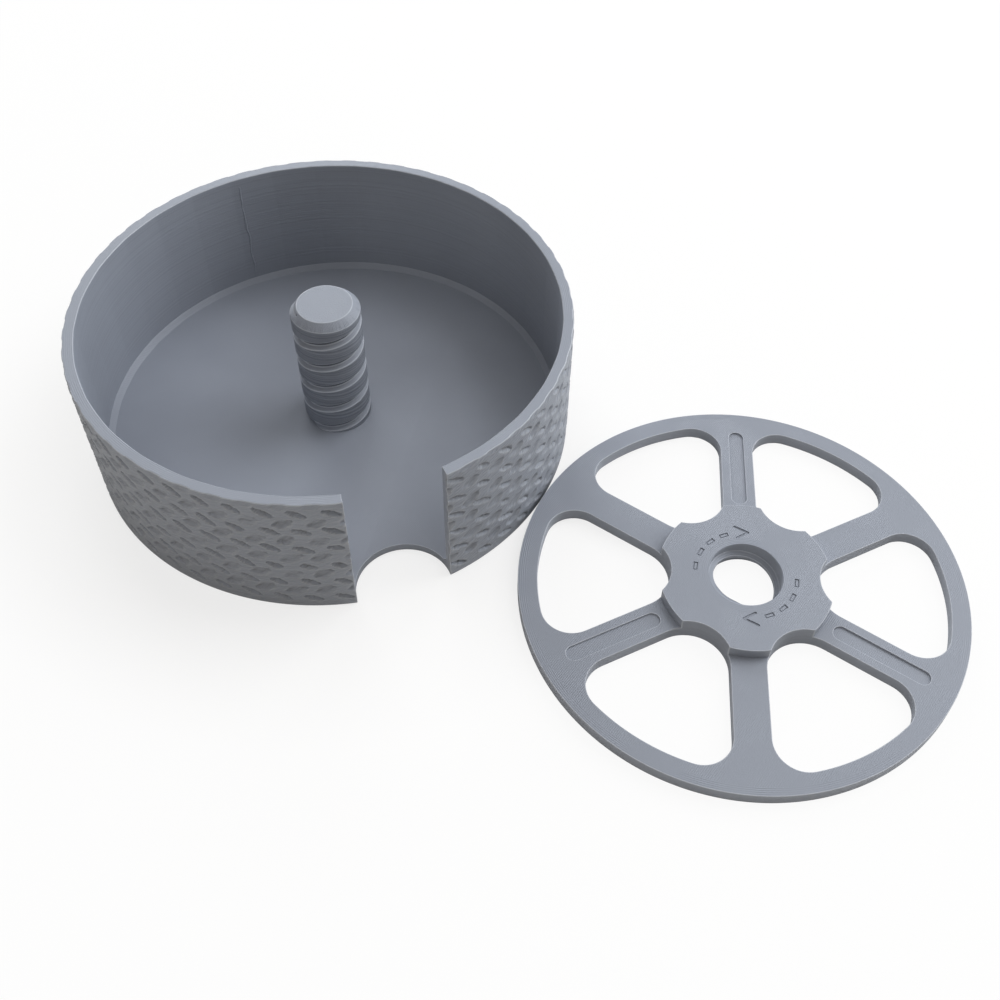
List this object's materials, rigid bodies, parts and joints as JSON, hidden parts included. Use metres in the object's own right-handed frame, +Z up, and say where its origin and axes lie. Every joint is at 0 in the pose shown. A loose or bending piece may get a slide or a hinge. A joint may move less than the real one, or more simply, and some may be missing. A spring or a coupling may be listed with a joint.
{
  "type": "grinding disc storage case",
  "caption": "Round open tub with a threaded centre post and a patterned wall, and a spoked lid that screws down the post onto a stack of grinding discs.",
  "frame": {"origin": "centre of the tub's underside, on the post's axis", "axes": "+Z up along the threaded post, -Y towards the finger cut at the front, +X to the right seen from the front"},
  "size_m": [0.2138, 0.2266, 0.0443],
  "materials": {
    "printed_plastic": "matte, with fine print layers"
  },
  "bodies": {
    "case": {"case_body": "printed_plastic", "threaded_post": "printed_plastic"},
    "lid": {"screw_lid": "printed_plastic"}
  },
  "joints": [
    {"name": "lid_lift", "type": "slide", "parent": "case", "child": "lid", "axis": [0, 0, 1], "range_m": [0, 0.05]}
  ]
}
